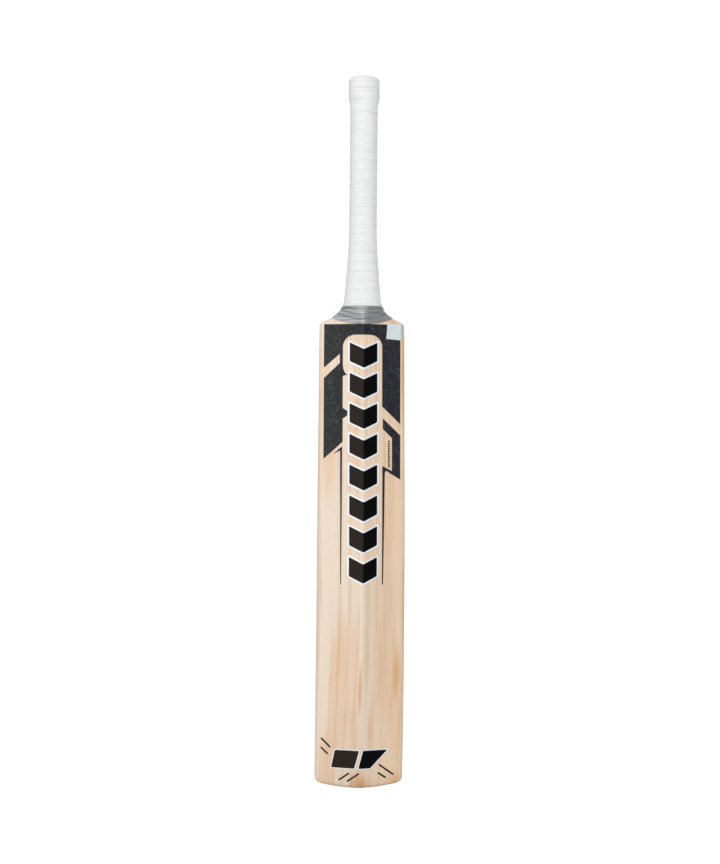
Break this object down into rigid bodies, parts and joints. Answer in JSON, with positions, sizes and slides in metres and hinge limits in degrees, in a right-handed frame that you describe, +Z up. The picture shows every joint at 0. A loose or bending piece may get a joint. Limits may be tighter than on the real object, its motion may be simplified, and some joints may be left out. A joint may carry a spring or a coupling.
{
  "type": "cricket bat",
  "caption": "Full-size short-handle cricket bat: a ridged, bowed willow blade with a spliced cane and rubber handle, a ribbed rubber grip, shoulder tape and dark stickers on the back.",
  "frame": {"origin": "on the handle's axis half-way up the grip, where the hands hold the bat", "axes": "+Z up the handle away from the toe, +Y out of the flat striking face, -Y out of the spine on the back, +X to the right seen from the back"},
  "size_m": [0.106, 0.0722, 0.8569],
  "materials": {
    "willow": "pale willow with straight grain along the blade, lightly oiled satin",
    "cane": "bare glued cane with fine lengthwise fibres",
    "spring_rubber": "dull dark rubber",
    "twine": "close wound waxed thread",
    "grip_rubber": "white ribbed and dimpled matte rubber",
    "tape": "grey woven tape in overlapping turns, satin",
    "panel_film": "charcoal printed film with a faint crackle pattern",
    "black_film": "black printed film",
    "edged_film": "black printed film with a silver white border",
    "hologram_foil": "pale iridescent foil"
  },
  "bodies": {
    "root": {"blade": "willow", "cane_slab_1_strip_1": "cane", "cane_slab_1_strip_2": "cane", "cane_slab_1_strip_3": "cane", "cane_slab_2_strip_1": "cane", "cane_slab_2_strip_2": "cane", "cane_slab_2_strip_3": "cane", "cane_slab_3_strip_1": "cane", "cane_slab_3_strip_2": "cane", "cane_slab_3_strip_3": "cane", "cane_slab_4_strip_1": "cane", "cane_slab_4_strip_2": "cane", "cane_slab_4_strip_3": "cane", "rubber_spring_1": "spring_rubber", "rubber_spring_2": "spring_rubber", "rubber_spring_3": "spring_rubber", "handle_twine": "twine", "grip_sleeve": "grip_rubber", "shoulder_tape": "tape", "upper_panel_sticker": "panel_film", "right_band_sticker": "panel_film", "left_line_sticker": "panel_film", "tick_sticker": "black_film", "hologram_label": "hologram_foil", "chevron_sticker_1": "edged_film", "chevron_sticker_2": "edged_film", "chevron_sticker_3": "edged_film", "chevron_sticker_4": "edged_film", "chevron_sticker_5": "edged_film", "chevron_sticker_6": "edged_film", "chevron_sticker_7": "edged_film", "chevron_sticker_8": "edged_film", "toe_flash_sticker_1": "edged_film", "toe_flash_sticker_2": "edged_film", "toe_dash_sticker_1": "black_film", "toe_dash_sticker_2": "black_film", "toe_dash_sticker_3": "black_film", "toe_dash_sticker_4": "black_film", "toe_dash_sticker_5": "black_film", "toe_dash_sticker_6": "black_film"}
  },
  "joints": []
}
